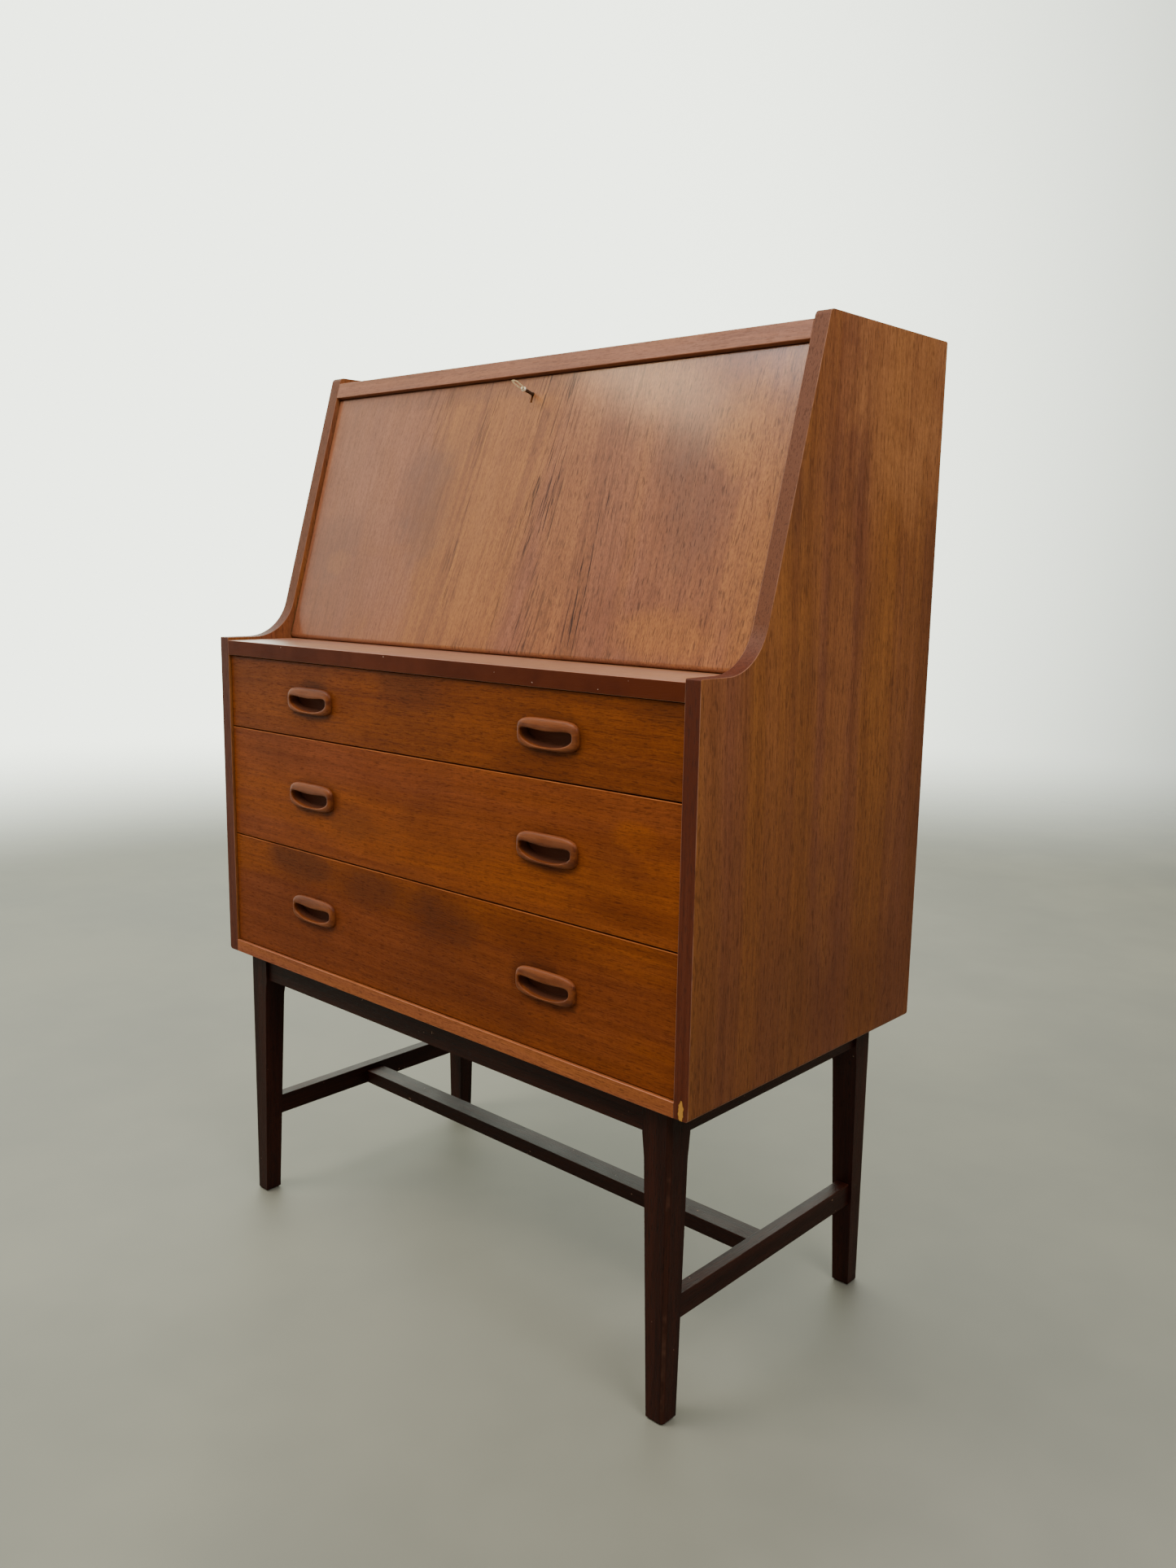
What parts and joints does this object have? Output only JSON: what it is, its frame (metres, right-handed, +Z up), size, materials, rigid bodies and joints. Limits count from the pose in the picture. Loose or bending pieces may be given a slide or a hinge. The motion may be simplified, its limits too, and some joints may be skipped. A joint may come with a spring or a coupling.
{
  "type": "secretary desk",
  "caption": "Teak secretary desk: leaning drop flap with lock and key over deep drawers with carved pulls, on dark tapered legs with an H stretcher.",
  "frame": {"origin": "on the floor, under the middle of the desk's bounding box", "axes": "+Z up, the front with its drawers and flap faces -Y, +X to the right as seen from the front"},
  "size_m": [0.78, 0.419, 1.096],
  "materials": {
    "teak": "satin oiled teak veneer, grain upright",
    "teak_cross": "satin oiled teak veneer, grain across",
    "teak_edge": "satin oiled solid teak",
    "teak_inner": "satin teak, less faded",
    "dark_wood": "dark stained, satin lacquer",
    "pull_wood": "polished solid teak",
    "pale_wood": "raw planed beech",
    "back_ply": "thin plywood, matt",
    "brass": "worn",
    "key_metal": "polished, tarnished in the corners",
    "steel": "dull",
    "screw_metal": "dull"
  },
  "bodies": {
    "case": {"side_panel_left": "teak", "side_panel_right": "teak", "top_panel": "teak_edge", "top_rail": "teak_edge", "desk_board": "teak_edge", "bottom_panel": "teak_cross", "back_panel": "back_ply", "flap_stop": "teak_inner", "strike_plate": "brass", "case_hinge_leaf_left": "brass", "case_hinge_leaf_right": "brass", "case_screws": "screw_metal", "drawer_runners": "pale_wood", "inner_shelf": "teak_inner", "inner_dividers": "teak_inner", "leg_front_left": "dark_wood", "leg_front_right": "dark_wood", "leg_rear_left": "dark_wood", "leg_rear_right": "dark_wood", "apron_front": "dark_wood", "apron_rear": "dark_wood", "apron_left": "dark_wood", "apron_right": "dark_wood", "stretcher_left": "dark_wood", "stretcher_right": "dark_wood", "stretcher_long": "dark_wood", "corner_blocks": "pale_wood", "base_screws": "screw_metal"},
    "flap": {"flap": "teak", "flap_hinge_leaf_left": "brass", "flap_hinge_leaf_right": "brass", "flap_hinge_screws": "screw_metal", "lock_case": "steel"},
    "lock_bolt": {"lock_bolt": "steel"},
    "key": {"key": "key_metal"},
    "drawer_1": {"drawer_1_front": "teak_cross", "drawer_1_side_left": "pale_wood", "drawer_1_side_right": "pale_wood", "drawer_1_back": "pale_wood", "drawer_1_bottom": "pale_wood", "drawer_1_pull_left": "pull_wood", "drawer_1_pull_right": "pull_wood"},
    "drawer_2": {"drawer_2_front": "teak_cross", "drawer_2_side_left": "pale_wood", "drawer_2_side_right": "pale_wood", "drawer_2_back": "pale_wood", "drawer_2_bottom": "pale_wood", "drawer_2_pull_left": "pull_wood", "drawer_2_pull_right": "pull_wood"},
    "drawer_3": {"drawer_3_front": "teak_cross", "drawer_3_side_left": "pale_wood", "drawer_3_side_right": "pale_wood", "drawer_3_back": "pale_wood", "drawer_3_bottom": "pale_wood", "drawer_3_pull_left": "pull_wood", "drawer_3_pull_right": "pull_wood"},
    "inner_drawer_left": {"inner_drawer_left_front": "teak_inner", "inner_drawer_left_box": "pale_wood"},
    "inner_drawer_right": {"inner_drawer_right_front": "teak_inner", "inner_drawer_right_box": "pale_wood"}
  },
  "joints": [
    {"name": "flap_fold", "type": "hinge", "parent": "case", "child": "flap", "pos_m": [0, -0.10756, 0.7568], "axis": [1, 0, 0], "range_deg": [0, 105.8]},
    {"name": "key_turn", "type": "hinge", "parent": "flap", "child": "key", "pos_m": [0, -0.02616, 1.04445], "axis": [0, -0.9622, 0.2723], "range_deg": [0, 90]},
    {"name": "bolt_throw", "type": "slide", "parent": "flap", "child": "lock_bolt", "axis": [0, 0.2723, 0.9622], "range_m": [0, 0.007]},
    {"name": "drawer_1_slide", "type": "slide", "parent": "case", "child": "drawer_1", "axis": [0, -1, 0], "range_m": [0, 0.3]},
    {"name": "drawer_2_slide", "type": "slide", "parent": "case", "child": "drawer_2", "axis": [0, -1, 0], "range_m": [0, 0.3]},
    {"name": "drawer_3_slide", "type": "slide", "parent": "case", "child": "drawer_3", "axis": [0, -1, 0], "range_m": [0, 0.3]},
    {"name": "inner_drawer_left_slide", "type": "slide", "parent": "case", "child": "inner_drawer_left", "axis": [0, -1, 0], "range_m": [0, 0.095]},
    {"name": "inner_drawer_right_slide", "type": "slide", "parent": "case", "child": "inner_drawer_right", "axis": [0, -1, 0], "range_m": [0, 0.095]}
  ],
  "couplings": [
    {"joint": "key_turn", "follows": "bolt_throw", "rad_per_m": 224.4}
  ]
}
